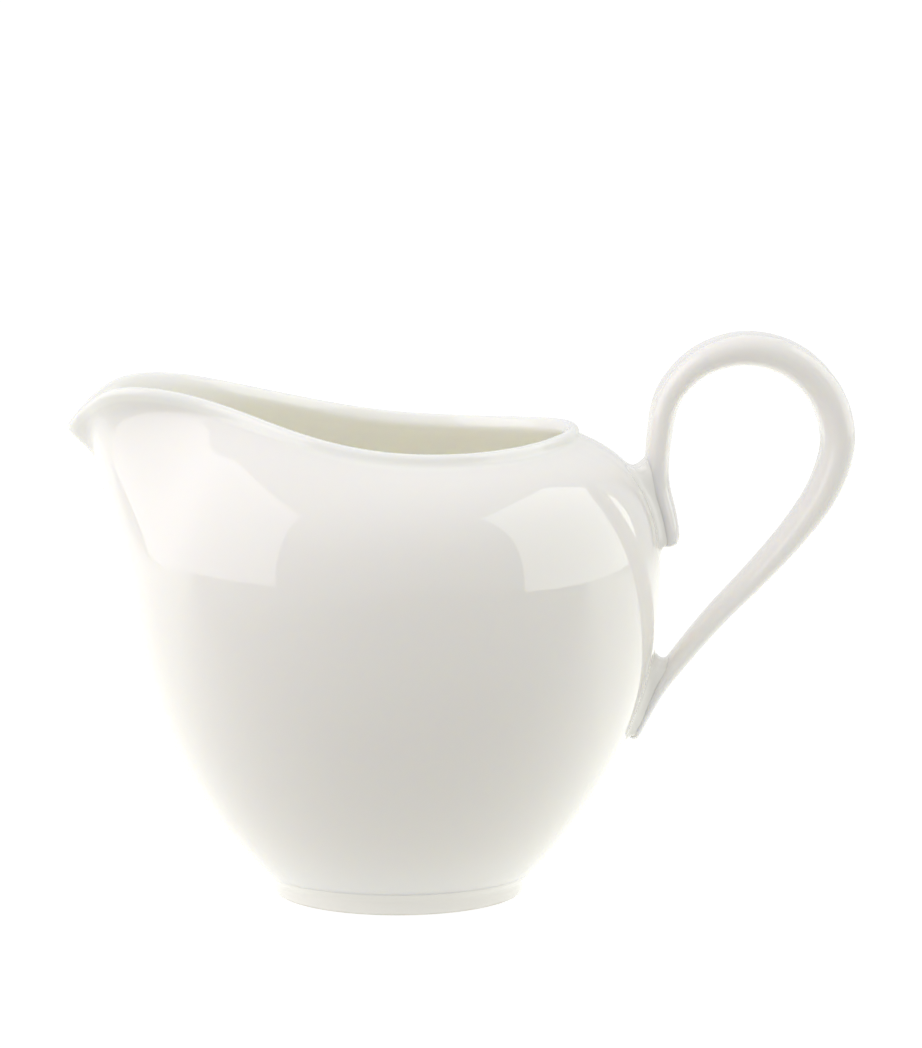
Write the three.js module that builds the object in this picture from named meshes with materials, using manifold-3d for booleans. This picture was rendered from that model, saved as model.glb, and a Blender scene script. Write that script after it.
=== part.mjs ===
// A porcelain cream jug: a thin cast vessel with a drawn pouring lip, the foot ring it stands
// on, a looped strap handle, and the two beads of slip that hold the handle to the wall.
// Millimetres, +Z up. The pouring lip points to -X, the handle to +X, and y = 0 is the mirror
// plane. The origin is on the table, under the middle of the whole jug.
import * as THREE from "three";
import { mergeVertices } from "three/addons/utils/BufferGeometryUtils.js";
import Module from "manifold-3d";

// ------------------------------------------------------------------ the vessel
const WALL = 2.1; // thickness of the cast wall
const FLOOR_TOP = 4.7; // height of the inside floor
const FLOOR_CORNER = 6.4; // the wall starts to turn into the floor at this height
const FLOOR_FILLET = 4; // how far in from there the floor becomes level
const FLOOR_FILLET_RISE = 0.3; // share of the corner's height that is left half way in
const BASE_RECESS = 2.6; // height of the underside at its centre
const BELLY_START = 2.1; // the wall rises from here, just above the foot ring
const BELLY_START_RADIUS = 19.95;
const BELLY_START_SLOPE = THREE.MathUtils.degToRad(42.5); // above the horizontal
const BELLY_START_PULL = 13.2; // how far the wall follows that slope
const BELLY_PULL = 20; // how far the wall stays upright below its widest place
const WIDEST_HEIGHT = 49;
const WIDEST_RADIUS = 41.25;
const LEAN = 1.45; // extra reach of the widest place on the pouring side
const LEAN_START = 30; // that lean begins at this height
const LEAN_LOW = 0.4; // a slight lean that the wall has from the foot up
const LEAN_LOW_TOP = 14; // and has reached at this height

// ------------------------------------------------------------------ the mouth and its lip
const MOUTH_RADIUS = 27.2; // all these radii and heights run through the middle of the lip
const LIP_REACH = 47.9; // how far the drawn lip comes out, without its pointed tip
const LIP_POINT = 2.7; // how far the tip stands out beyond that
const LIP_HALF_ANGLE = THREE.MathUtils.degToRad(18.8); // seen from the vessel's axis
const LIP_SHARPNESS = 3.2; // how suddenly the round mouth turns into the drawn lip
const TIP_HALF_ANGLE = THREE.MathUtils.degToRad(4.2);
const LIP_RADIUS = 1.02; // the rounded edge of the mouth
const LIP_INNER_REACH = 1.2; // the inner half of that edge comes in this far
const LIP_INNER_DEPTH = 2.4; // and runs this far down
const CREST_LOW = 71.4; // lowest height of the edge
const CREST_LOW_X = 9.5;
const CREST_REAR = 72.9; // its height above the handle
const CREST_HIGH = 79.9; // its highest place, on the cheeks of the drawn lip
const CREST_HIGH_X = -39.5;
const CREST_TIP = 73.4; // its height at the tip
const CREST_RISE_DELAY = 1.3; // above 1, the edge rises late on its way to the drawn lip
const CREST_FALL_POWER = 2.6; // how late it falls towards the tip
const RIB_SPREAD = 1.2; // how far the ribs of the wall fan out below the drawn lip
const RIB_SPREAD_ANGLE = THREE.MathUtils.degToRad(26);

// The neck is the narrow place just below the edge. Each pair is [round mouth, lip's tip].
const NECK_OUT = [2.0, -0.9]; // outwards from the middle of the lip, without its pointed tip
const NECK_SMOOTHING = THREE.MathUtils.degToRad(7); // the neck's outline is this much softer
const NECK_DOWN = [1.0, 5.6];
const NECK_SLOPE = [157.6, 76].map(THREE.MathUtils.degToRad); // of the wall, as it arrives
const NECK_PULL = [9.2, 6.3];
const SHOULDER_PULL = [13.2, 6.3]; // how far the wall keeps its direction above the widest place
const COLLAR_PULL = [0.5, 2.2];
const LIP_TURN = [0, -40].map(THREE.MathUtils.degToRad); // where the collar meets the round edge

// ------------------------------------------------------------------ the foot ring
const FOOT_HEIGHT = 1.8;
const FOOT_RADIUS = 19.45; // at the table
const FOOT_TOP_RADIUS = 19.9;
const FOOT_INNER_RADIUS = 17.2;
const FOOT_TOP_INNER_RADIUS = 16.6;
const FOOT_EDGE = 0.35; // softening of the two lower edges

// ------------------------------------------------------------------ the handle
const LOOP_X = 53.85; // middle of the round top of the loop
const LOOP_Z = 71.6;
const LOOP_START_RADIUS = 13.4; // to the middle of the strap, on the vessel's side
const LOOP_END_RADIUS = 14.85; // and on the far side
const LOOP_EASE = 1.5; // above 1, most of that growth comes early
const LOOP_END_ANGLE = THREE.MathUtils.degToRad(-30); // past level, on the far side
const UPPER_TAIL = [[42.6, 55.7], [41.85, 58.9], [40.35, 64.6]]; // x, z from the free end upwards
const LOWER_LEG = [[62.15, 57.3], [55.6, 49.85], [50.1, 44.15], [45.2, 38.4]]; // loop to wall
const LOWER_TAIL = [[41.05, 33.0], [38.9, 29.25], [36.9, 25.3]]; // down the wall to the free end
const STRAP_WIDTH = 11.4;
const TAIL_WIDTH = 8.6; // at both free ends
const TAIL_SHARE = 0.2; // of the strap's length, over which each tail narrows
const STRAP_THICKNESS = [3.8, 4.1, 4.7, 5.8, 6.1, 5.6, 4.5, 3.65, 3.1, 2.3]; // end to end
const CHANNEL_DEPTH = 0.8; // of the shallow hollow down the outer face
const CHANNEL_SHARE = 0.8; // of the strap's width
const SECTION_SQUARENESS = 2.3; // 2 is an ellipse
const TIP_LENGTH = 1.6; // the free ends are rounded off over this length
const TIP_SIZE = 0.55; // size of the very end, against the strap

// ------------------------------------------------------------------ the slip that joins them
const GAP = 0.3; // kept between neighbouring pieces
const SLIP_BED = 0.5; // thickness of the slip between the handle and the wall
const SLIP_RISE = 0.8; // how far the bead climbs up the handle
const SLIP_SPREAD = 0.6; // how far the bead stands out round the handle
const UPPER_TAIL_SHARE = 0.16; // of the strap's length, that may lie on the wall
const LOWER_TAIL_SHARE = 0.24;

// ------------------------------------------------------------------ how finely they are built
const COLUMNS = 72;
const BELLY_RINGS = 8;
const SHOULDER_RINGS = 7;
const COLLAR_RINGS = 3;
const LIP_RINGS = 6;
const RIM_SAMPLES = 720;
const FOOT_SEGMENTS = 56;
const LOOP_STEPS = 7;
const SECTION_SIDES = 14;
const HANDLE_STEPS = 44;
const NORMAL_STEP = 1e-3;

const GLAZE = { color: 0xf1eeea, roughness: 0.08, metalness: 0 };
const BISCUIT = { color: 0xe9e5dd, roughness: 0.7, metalness: 0 };
const UP = new THREE.Vector3(0, 0, 1);
const { lerp } = THREE.MathUtils;

// ================================================================== the vessel's surface
// Every angle runs from the pouring lip, at 0, round to the handle, at pi.
const outwards = (angle) => new THREE.Vector3(-Math.cos(angle), -Math.sin(angle), 0);

// How much of the drawn lip there is at this angle: 1 at the tip, 0 where the mouth is round.
const lipShare = (angle) => 1 / (1 + (Math.abs(angle) / LIP_HALF_ANGLE) ** LIP_SHARPNESS);

const tipShare = (angle) => Math.exp(-((angle / TIP_HALF_ANGLE) ** 2));

function crestHeight(x) {
  const tipX = -(LIP_REACH + LIP_POINT);
  if (x > CREST_LOW_X) {
    const rear = (x - CREST_LOW_X) / (MOUTH_RADIUS - CREST_LOW_X);
    return CREST_LOW + (CREST_REAR - CREST_LOW) * rear ** 2;
  }
  if (x > CREST_HIGH_X) {
    const rise = ((CREST_LOW_X - x) / (CREST_LOW_X - CREST_HIGH_X)) ** CREST_RISE_DELAY;
    return lerp(CREST_LOW, CREST_HIGH, THREE.MathUtils.smoothstep(rise, 0, 1));
  }
  const fall = Math.min((CREST_HIGH_X - x) / (CREST_HIGH_X - tipX), 1);
  return lerp(CREST_HIGH, CREST_TIP, fall ** CREST_FALL_POWER);
}

// The middle of the rounded edge of the mouth.
function crest(angle) {
  const reach = MOUTH_RADIUS + (LIP_REACH - MOUTH_RADIUS) * lipShare(angle)
    + LIP_POINT * tipShare(angle);
  const point = outwards(angle).multiplyScalar(reach);
  point.z = crestHeight(point.x);
  return point;
}

// The level direction that points away from the mouth, square to a chord of its edge.
function crestNormal(angle, halfChord) {
  const along = crest(angle + halfChord).sub(crest(angle - halfChord));
  return new THREE.Vector3(along.y, -along.x, 0).normalize();
}

// Below a rib's place on the edge of the mouth, its foot stands at this angle.
const footAngle = (angle) => angle * (1 + RIB_SPREAD * Math.exp(-((angle / RIB_SPREAD_ANGLE) ** 2)));

function bellyPoint(angle, t) {
  const curve = new THREE.CubicBezierCurve(
    new THREE.Vector2(BELLY_START_RADIUS, BELLY_START),
    new THREE.Vector2(BELLY_START_RADIUS + BELLY_START_PULL * Math.cos(BELLY_START_SLOPE),
      BELLY_START + BELLY_START_PULL * Math.sin(BELLY_START_SLOPE)),
    new THREE.Vector2(WIDEST_RADIUS, WIDEST_HEIGHT - BELLY_PULL),
    new THREE.Vector2(WIDEST_RADIUS, WIDEST_HEIGHT),
  ).getPoint(t);
  const risen = Math.max(curve.y - LEAN_START, 0) / (WIDEST_HEIGHT - LEAN_START);
  const front = ((1 + Math.cos(angle)) / 2) ** 2;
  const lean = LEAN_LOW * THREE.MathUtils.smoothstep(curve.y, BELLY_START, LEAN_LOW_TOP)
    + LEAN * risen ** 2;
  const point = outwards(angle).multiplyScalar(curve.x + front * lean);
  point.z = curve.y;
  return point;
}

// One rib of the wall, from the foot to the edge: t is 0 to 1 up the belly, 1 to 2 over the
// shoulder to the neck, and 2 to 3 up the small collar under the rounded edge.
function wallPoint(angle, t) {
  if (t <= 1) return bellyPoint(footAngle(angle), t);
  const share = lipShare(angle);
  const between = ([round, tip]) => lerp(round, tip, share);
  const out = crestNormal(angle, NECK_SMOOTHING);
  const middle = crest(angle);
  const slope = between(NECK_SLOPE);
  const neck = middle.clone()
    .addScaledVector(out, between(NECK_OUT) - LIP_POINT * tipShare(angle))
    .addScaledVector(UP, -between(NECK_DOWN));
  const arriving = out.clone().multiplyScalar(Math.cos(slope)).addScaledVector(UP, Math.sin(slope));
  if (t <= 2) {
    const start = bellyPoint(footAngle(angle), 1);
    const leaving = start.clone().sub(bellyPoint(footAngle(angle), 1 - NORMAL_STEP)).normalize();
    return new THREE.CubicBezierCurve3(
      start,
      start.clone().addScaledVector(leaving, between(SHOULDER_PULL)),
      neck.clone().addScaledVector(arriving, -between(NECK_PULL)),
      neck,
    ).getPoint(t - 1);
  }
  const turn = between(LIP_TURN);
  const edge = edgePoint(angle, turn);
  const rising = crestNormal(angle, NORMAL_STEP).multiplyScalar(-Math.sin(turn))
    .addScaledVector(UP, Math.cos(turn));
  return new THREE.CubicBezierCurve3(
    neck,
    neck.clone().addScaledVector(arriving, between(COLLAR_PULL)),
    edge.clone().addScaledVector(rising, -between(COLLAR_PULL)),
    edge,
  ).getPoint(t - 2);
}

// A point on the rounded edge: turn 0 faces outwards, a quarter turn faces up, and beyond that
// the edge runs down into the mouth as a soft bead.
function edgePoint(angle, turn) {
  const [side, rise] = [Math.cos(turn), Math.sin(turn)];
  const isInner = side < 0;
  return crest(angle)
    .addScaledVector(crestNormal(angle, NORMAL_STEP), side * (isInner ? LIP_INNER_REACH : LIP_RADIUS))
    .addScaledVector(UP, isInner ? LIP_RADIUS - (1 - rise) * LIP_INNER_DEPTH : LIP_RADIUS * rise);
}

function wallNormal(angle, t) {
  const low = Math.min(t, 3 - NORMAL_STEP);
  const around = wallPoint(angle + NORMAL_STEP, t).sub(wallPoint(angle - NORMAL_STEP, t));
  const up = wallPoint(angle, low + NORMAL_STEP).sub(wallPoint(angle, low));
  return around.cross(up).normalize();
}

// Rib angles that stand evenly along the edge of the mouth.
function ribAngles() {
  const lengths = [0];
  for (let i = 1; i <= RIM_SAMPLES; i++) {
    const step = (2 * Math.PI) / RIM_SAMPLES;
    const from = crest(-Math.PI + (i - 1) * step);
    lengths.push(lengths[i - 1] + crest(-Math.PI + i * step).distanceTo(from));
  }
  const angles = [];
  for (let column = 0; column < COLUMNS; column++) {
    const wanted = (lengths[RIM_SAMPLES] * column) / COLUMNS;
    const i = lengths.findIndex((length) => length > wanted);
    const part = (wanted - lengths[i - 1]) / (lengths[i] - lengths[i - 1]);
    angles.push(-Math.PI + ((i - 1 + part) * 2 * Math.PI) / RIM_SAMPLES);
  }
  return angles;
}

// ================================================================== building solids
// A closed surface through rings of points that all have the same length, with both ends shut.
function loft(rings) {
  const count = rings[0].length;
  const points = rings.flat();
  const faces = [];
  for (let ring = 0; ring + 1 < rings.length; ring++) {
    for (let i = 0; i < count; i++) {
      const next = (i + 1) % count;
      const [a, b] = [ring * count + i, ring * count + next];
      faces.push(a, b, b + count, a, b + count, a + count);
    }
  }
  const middle = (ring) => ring
    .reduce((sum, point) => sum.add(point), new THREE.Vector3()).divideScalar(count);
  const last = (rings.length - 1) * count;
  points.push(middle(rings[0]), middle(rings.at(-1)));
  for (let i = 0; i < count; i++) {
    const next = (i + 1) % count;
    faces.push(points.length - 2, next, i, points.length - 1, last + i, last + next);
  }
  const geometry = new THREE.BufferGeometry().setFromPoints(points);
  geometry.setIndex(isInsideOut(points, faces) ? faces.reverse() : faces);
  return geometry;
}

function isInsideOut(points, faces) {
  let volume = 0;
  for (let i = 0; i < faces.length; i += 3) {
    const [a, b, c] = [faces[i], faces[i + 1], faces[i + 2]].map((index) => points[index]);
    volume += a.dot(b.clone().cross(c));
  }
  return volume < 0;
}

const wasm = await Module();
wasm.setup();

function solid(geometry) {
  const bare = geometry.clone();
  bare.deleteAttribute("normal");
  bare.deleteAttribute("uv");
  const merged = mergeVertices(bare);
  return new wasm.Manifold(new wasm.Mesh({
    numProp: 3,
    vertProperties: new Float32Array(merged.attributes.position.array),
    triVerts: new Uint32Array(merged.index.array),
  }));
}

function geometryOf(body) {
  const mesh = body.getMesh();
  const geometry = new THREE.BufferGeometry();
  geometry.setAttribute("position", new THREE.BufferAttribute(mesh.vertProperties, 3));
  geometry.setIndex(new THREE.BufferAttribute(mesh.triVerts, 1));
  return geometry;
}

function named(name, geometry, finish) {
  const mesh = new THREE.Mesh(geometry, new THREE.MeshStandardMaterial(finish));
  mesh.name = name;
  mesh.geometry.computeVertexNormals();
  return mesh;
}

// ================================================================== the vessel and its foot
const angles = ribAngles();
const wallRing = (t, inset) => angles.map((angle) => (
  wallPoint(angle, t).addScaledVector(wallNormal(angle, t), -inset)));
const levelRing = (radius, z) => angles.map((angle) => (
  outwards(footAngle(angle)).multiplyScalar(radius).setZ(z)));

const evenly = (from, to, count) => Array.from({ length: count },
  (_, i) => lerp(from, to, (i + 1) / count));
const outerHeights = [0, ...evenly(0, 1, BELLY_RINGS), ...evenly(1, 2, SHOULDER_RINGS)];

function vesselGeometry() {
  const lip = evenly(0, 1, LIP_RINGS).map((share) => angles.map((angle) => {
    const from = lerp(...LIP_TURN, lipShare(angle));
    return edgePoint(angle, lerp(from, Math.PI, share));
  }));
  const inner = outerHeights.filter((t) => t < 2 && wallPoint(Math.PI, t).z > FLOOR_CORNER)
    .reverse().map((t) => wallRing(t, WALL));
  const corner = inner.at(-1)[0].clone().setZ(0).length();
  return loft([
    levelRing(FOOT_TOP_INNER_RADIUS / 2, BASE_RECESS),
    levelRing(FOOT_TOP_INNER_RADIUS, BELLY_START),
    ...outerHeights.map((t) => wallRing(t, 0)),
    ...evenly(2, 3, COLLAR_RINGS).map((t) => wallRing(t, 0)),
    ...lip,
    ...inner,
    levelRing(corner - FLOOR_FILLET / 2, lerp(FLOOR_TOP, FLOOR_CORNER, FLOOR_FILLET_RISE)),
    levelRing(corner - FLOOR_FILLET, FLOOR_TOP),
    levelRing(corner / 2, FLOOR_TOP),
  ]);
}

function footGeometry() {
  const profile = [
    [FOOT_INNER_RADIUS, 0],
    [FOOT_RADIUS - FOOT_EDGE, 0],
    [FOOT_RADIUS, FOOT_EDGE],
    [FOOT_TOP_RADIUS, FOOT_HEIGHT],
    [FOOT_TOP_INNER_RADIUS, FOOT_HEIGHT],
    [FOOT_INNER_RADIUS - FOOT_EDGE, FOOT_EDGE],
    [FOOT_INNER_RADIUS, 0],
  ].map(([radius, z]) => new THREE.Vector2(radius, z));
  return new THREE.LatheGeometry(profile, FOOT_SEGMENTS).rotateX(Math.PI / 2);
}

// ================================================================== the handle
const ACROSS = new THREE.Vector3(0, 1, 0);

function handleCurve() {
  const loop = evenly(1, 0, LOOP_STEPS).map((left) => {
    const turn = LOOP_END_ANGLE + (Math.PI - LOOP_END_ANGLE) * left;
    const radius = lerp(LOOP_END_RADIUS, LOOP_START_RADIUS,
      (Math.max(turn, 0) / Math.PI) ** LOOP_EASE);
    return [LOOP_X + radius * Math.cos(turn), LOOP_Z + radius * Math.sin(turn)];
  });
  const start = [LOOP_X - LOOP_START_RADIUS, LOOP_Z];
  const route = [...UPPER_TAIL, start, ...loop, ...LOWER_LEG, ...LOWER_TAIL];
  return new THREE.CatmullRomCurve3(route.map(([x, z]) => new THREE.Vector3(x, 0, z)));
}

const handlePath = handleCurve();
const handleLength = handlePath.getLength();
const thicknesses = new THREE.SplineCurve(STRAP_THICKNESS.map((size, i) => (
  new THREE.Vector2(i / (STRAP_THICKNESS.length - 1), size))));

// The strap's cross-section: rounded on the inside of the loop, hollowed down the outside.
function strapSection(at, grow) {
  const along = handlePath.getTangentAt(at);
  const outside = along.clone().cross(ACROSS).normalize();
  const isTip = at === 0 || at === 1;
  const middle = handlePath.getPointAt(at);
  if (isTip) middle.addScaledVector(along, at === 0 ? -grow : grow);
  const size = isTip ? TIP_SIZE : 1;
  const widening = THREE.MathUtils.smoothstep(Math.min(at, 1 - at), 0, TAIL_SHARE);
  const halfWidth = (lerp(TAIL_WIDTH, STRAP_WIDTH, widening) / 2 + grow) * size;
  const halfDepth = (thicknesses.getPoint(at).y / 2 + grow) * size;
  return evenly(0, 2 * Math.PI, SECTION_SIDES).map((turn) => {
    const squared = (value) => Math.sign(value) * Math.abs(value) ** (2 / SECTION_SQUARENESS);
    const side = squared(Math.cos(turn));
    const depth = squared(Math.sin(turn));
    const hollow = depth > 0 ? CHANNEL_DEPTH * Math.max(1 - (side / CHANNEL_SHARE) ** 2, 0) : 0;
    return middle.clone().addScaledVector(ACROSS, side * halfWidth)
      .addScaledVector(outside, depth * halfDepth - hollow);
  });
}

const tipShareOfStrap = TIP_LENGTH / handleLength;
const strapStations = [0, tipShareOfStrap,
  ...evenly(tipShareOfStrap, 1 - tipShareOfStrap, HANDLE_STEPS), 1];

function strapGeometry(grow, from, to) {
  return loft(strapStations.filter((at) => at >= from && at <= to)
    .map((at) => strapSection(at, grow)));
}

// The vessel's whole outside, closed over the mouth, standing out by the given distance.
const wallOutside = (distance) => solid(loft(outerHeights.map((t) => wallRing(t, -distance))));

function handleGeometry() {
  return geometryOf(solid(strapGeometry(0, 0, 1)).subtract(wallOutside(GAP + SLIP_BED + GAP)));
}

// A bed of slip under one tail of the strap, with a bead that climbs round its edge.
function slipGeometry(from, to) {
  const spread = solid(strapGeometry(SLIP_SPREAD, from, to))
    .intersect(wallOutside(GAP + SLIP_BED + SLIP_RISE));
  const strap = solid(strapGeometry(GAP, from, to)).subtract(wallOutside(GAP + SLIP_BED));
  return geometryOf(spread.subtract(wallOutside(GAP)).subtract(strap));
}

// ================================================================== the whole jug
const jug = new THREE.Group();
jug.add(named("jug_body", vesselGeometry(), GLAZE));
jug.add(named("foot_ring", footGeometry(), BISCUIT));
jug.add(named("handle_strap", handleGeometry(), GLAZE));
jug.add(named("upper_handle_joint", slipGeometry(0, UPPER_TAIL_SHARE), GLAZE));
jug.add(named("lower_handle_joint", slipGeometry(1 - LOWER_TAIL_SHARE, 1), GLAZE));

// The vessel's axis stands to one side, so that the origin is under the middle of the jug.
const box = new THREE.Box3().setFromObject(jug);
jug.position.x = -(box.min.x + box.max.x) / 2;

export default jug;
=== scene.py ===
"""Builds the finished look of a porcelain cream jug round its fixed frame.

Each piece is drawn up ring by ring from a primitive, shaped by the same rules as the frame, and
smoothed. Lengths are in metres and the pouring lip points to -X.
"""

import math

import bmesh
import bpy
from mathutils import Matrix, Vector


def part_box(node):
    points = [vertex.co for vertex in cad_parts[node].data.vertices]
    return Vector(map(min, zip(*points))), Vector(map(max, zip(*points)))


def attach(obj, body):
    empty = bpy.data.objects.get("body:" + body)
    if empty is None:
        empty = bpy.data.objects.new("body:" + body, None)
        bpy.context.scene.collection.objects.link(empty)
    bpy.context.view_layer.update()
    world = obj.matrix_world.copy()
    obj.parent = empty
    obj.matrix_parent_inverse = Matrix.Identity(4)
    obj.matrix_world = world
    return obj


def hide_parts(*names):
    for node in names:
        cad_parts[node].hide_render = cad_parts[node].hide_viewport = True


bl_info = {
    "name": "Porcelain Cream Jug",
    "version": (1, 0, 0),
    "blender": (4, 5, 0),
    "location": "3D View > Sidebar > Cream Jug",
    "description": "Casts, trims, handles and glazes a porcelain cream jug",
    "category": "Object",
}

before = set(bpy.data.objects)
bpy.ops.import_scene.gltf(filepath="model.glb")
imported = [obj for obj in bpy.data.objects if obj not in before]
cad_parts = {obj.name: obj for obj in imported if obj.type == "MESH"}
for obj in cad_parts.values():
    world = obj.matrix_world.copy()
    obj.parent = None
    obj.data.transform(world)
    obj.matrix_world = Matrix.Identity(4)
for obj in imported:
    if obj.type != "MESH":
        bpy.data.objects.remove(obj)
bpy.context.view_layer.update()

MM = 0.001
UP = Vector((0, 0, 1))
ACROSS = Vector((0, 1, 0))
FOOT_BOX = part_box("foot_ring")
AXIS = Vector(((FOOT_BOX[0].x + FOOT_BOX[1].x) / 2, 0, 0))

# How finely the pieces are drawn, before they are smoothed.
COLUMNS = 96
BELLY_RINGS = 10
SHOULDER_RINGS = 10
COLLAR_RINGS = 5
LIP_RINGS = 8
TIP_CROWDING = 2.2  # how much closer the columns stand at the tip of the pouring lip
RIM_SAMPLES = 1440
SECTION_SIDES = 28
STRAP_RINGS = 84
TIP_RINGS = 5
BEAD_COLUMNS = 96
BEAD_ARC = 6
SMOOTHING = 2
NUDGE = 1e-3

# The vessel: its walls run from the foot ring to the neck, and the mouth's edge stands on top.
BELLY_START = (20.3 * MM, 2.5 * MM)
BELLY_START_SLOPE = math.radians(42.5)
BELLY_START_PULL = 12.8 * MM
BELLY_PULL = 20 * MM
LEAN_LOW = 0.4 * MM
LEAN_LOW_TOP = 14 * MM
LEAN = 1.45 * MM
LEAN_START = 30 * MM
FLOOR_TOP = 4.7 * MM
FLOOR_CORNER = 6.4 * MM
FLOOR_FILLET = 4 * MM
BASE_RECESS = 2.9 * MM
HEEL_INSIDE = 17.3 * MM  # the heel under the wall is bedded in the foot ring
HEEL_HEIGHT = 1.8 * MM
CREST_LOW = (9.5 * MM, 71.4 * MM)  # x and height of the lowest place on the edge
CREST_REAR = 72.9 * MM
CREST_HIGH = (-39.5 * MM, 79.9 * MM)
CREST_TIP = 73.4 * MM
CREST_RISE_DELAY = 1.3
CREST_FALL_POWER = 2.6
LIP_POINT = 2.7 * MM
EDGE_INNER_REACH = 1.2 * MM
EDGE_INNER_DEPTH = 2.4 * MM
LIP_HALF_ANGLE = math.radians(18.8)
LIP_SHARPNESS = 3.2
TIP_HALF_ANGLE = math.radians(4.2)
RIB_SPREAD = 1.2
RIB_SPREAD_ANGLE = math.radians(26)
# Each pair is the value where the mouth is round, and at the tip of the pouring lip.
NECK_OUT = (2.0 * MM, -0.9 * MM)
NECK_DOWN = (1.0 * MM, 5.6 * MM)
NECK_SLOPE = (math.radians(157.6), math.radians(76))
NECK_PULL = (9.2 * MM, 6.3 * MM)
SHOULDER_PULL = (13.2 * MM, 6.3 * MM)
COLLAR_PULL = (0.5 * MM, 2.2 * MM)
LIP_TURN = (0.0, math.radians(-40))
NECK_SMOOTHING = math.radians(7)

# The handle, as x and z from the vessel's axis.
LOOP_CENTRE = (53.85 * MM, 71.6 * MM)
LOOP_RADII = (13.4 * MM, 14.85 * MM)
LOOP_EASE = 1.5
LOOP_END_ANGLE = math.radians(-30)
LOOP_STEPS = 7
UPPER_TAIL = ((42.3, 54.6), (41.7, 58.9), (40.3, 64.9))
LOWER_LEG = ((62.15, 57.3), (55.6, 49.85), (50.1, 44.15), (45.2, 38.4))
LOWER_TAIL = ((41.05, 33.0), (38.9, 29.25), (36.4, 24.3))
STRAP_THICKNESS = (3.8, 4.1, 4.7, 5.8, 6.1, 5.6, 4.5, 3.65, 3.1, 2.3)
CHANNEL_SHARE = 0.74
CHANNEL_FADE = 12 * MM
SECTION_SQUARENESS = 2.3
TAIL_SHARE = 0.2
TIP_LENGTH = 1.5 * MM

# How much light sinks into the porcelain under the glaze, how deep and in which colour.
WALL_SCATTER = 0.7
WALL_SCATTER_DEPTH = 2.4 * MM
SLIP_SCATTER = 0.05
SLIP_SCATTER_DEPTH = 0.2 * MM
SCATTER_COLOUR = (1.0, 0.9, 0.65)

# The glaze and the bare biscuit.
GLAZE_IOR = 1.5
COAT_WEIGHT = 0.6
COAT_ROUGHNESS = 0.03
GLAZE_ROUGHNESS = (0.02, 0.05)
GLAZE_RELIEF = 1 * MM
CLOUDING = 0.06  # how far the glaze's depth wanders to either side
SPECK_RARITY = 0.8  # the share of the places for a speck that stay clean
SPECK_COLOUR = (0.42, 0.36, 0.27, 1)
BISCUIT_ROUGHNESS = 0.62
BISCUIT_SCATTER = 0.1
BISCUIT_SCATTER_DEPTH = 1 * MM
BISCUIT_SHADE = 0.86  # how dark its grain goes
BISCUIT_RELIEF = 0.05 * MM
BARE_WANDER = -0.5 * MM  # how far down the line where the glaze begins is pushed
BARE_EDGE = (-0.05 * MM, 0.12 * MM)  # from bare to glazed, measured from that line


def mix(low, high, share):
    return low + (high - low) * share


def evenly(low, high, count):
    """count values that step evenly from just after low up to high."""
    return [mix(low, high, (i + 1) / count) for i in range(count)]


def smoothstep(value, low, high):
    share = min(max((value - low) / (high - low), 0), 1)
    return share * share * (3 - 2 * share)


def bezier(a, b, c, d, t):
    s = 1 - t
    return a * s**3 + b * 3 * s * s * t + c * 3 * s * t * t + d * t**3


# --------------------------------------------------------------------------- settings


class JugSizes(bpy.types.PropertyGroup):
    """Sizes of the jug that a maker would change."""

    widest_radius: bpy.props.FloatProperty(
        name="Belly radius", description="From the axis to the widest place of the belly",
        default=41.25 * MM, min=20 * MM, max=80 * MM, unit="LENGTH")
    widest_height: bpy.props.FloatProperty(
        name="Belly height", description="Height of the widest place above the table",
        default=49 * MM, min=35 * MM, max=60 * MM, unit="LENGTH")
    mouth_radius: bpy.props.FloatProperty(
        name="Mouth radius", description="To the middle of the rounded edge, where it is round",
        default=27.2 * MM, min=15 * MM, max=38 * MM, unit="LENGTH")
    lip_reach: bpy.props.FloatProperty(
        name="Lip reach", description="How far the pouring lip comes out from the axis",
        default=47.9 * MM, min=30 * MM, max=60 * MM, unit="LENGTH")
    lip_radius: bpy.props.FloatProperty(
        name="Edge radius", description="Rounding of the mouth's edge",
        default=1.02 * MM, min=0.4 * MM, max=2 * MM, unit="LENGTH")
    wall: bpy.props.FloatProperty(
        name="Wall", description="Thickness of the cast wall",
        default=2.1 * MM, min=1 * MM, max=4 * MM, unit="LENGTH")
    strap_width: bpy.props.FloatProperty(
        name="Strap width", description="Width of the handle across the loop",
        default=11.4 * MM, min=5 * MM, max=20 * MM, unit="LENGTH")
    tail_width: bpy.props.FloatProperty(
        name="Tail width", description="Width of the handle at its two free ends",
        default=8.6 * MM, min=4 * MM, max=16 * MM, unit="LENGTH")
    channel_depth: bpy.props.FloatProperty(
        name="Channel", description="Depth of the hollow down the handle's outer face",
        default=0.85 * MM, min=0, max=1.2 * MM, unit="LENGTH")
    bead_height: bpy.props.FloatProperty(
        name="Slip bead", description="How far the slip climbs up the sides of the handle",
        default=1.5 * MM, min=0.2 * MM, max=2.5 * MM, unit="LENGTH")


class JugFinish(bpy.types.PropertyGroup):
    """Colours and gloss of the jug."""

    porcelain: bpy.props.FloatVectorProperty(
        name="Porcelain", description="Colour of the glazed body",
        subtype="COLOR", size=3, min=0, max=1, default=(0.90, 0.88, 0.862))
    pooled: bpy.props.FloatVectorProperty(
        name="Pooled glaze", description="Colour where the glaze lies thick in a corner",
        subtype="COLOR", size=3, min=0, max=1, default=(0.86, 0.84, 0.77))
    # Also the colour of painted light, mixed in to light the inside, the mouth's edge and the slip
    # beads.
    thin: bpy.props.FloatVectorProperty(
        name="Thin glaze and painted light", description="Colour where the glaze runs off a sharp edge",
        subtype="COLOR", size=3, min=0, max=1, default=(0.995, 0.988, 0.93))
    biscuit: bpy.props.FloatVectorProperty(
        name="Bare biscuit", description="Colour of the ground, unglazed edge of the foot",
        subtype="COLOR", size=3, min=0, max=1, default=(0.80, 0.775, 0.71))


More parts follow.
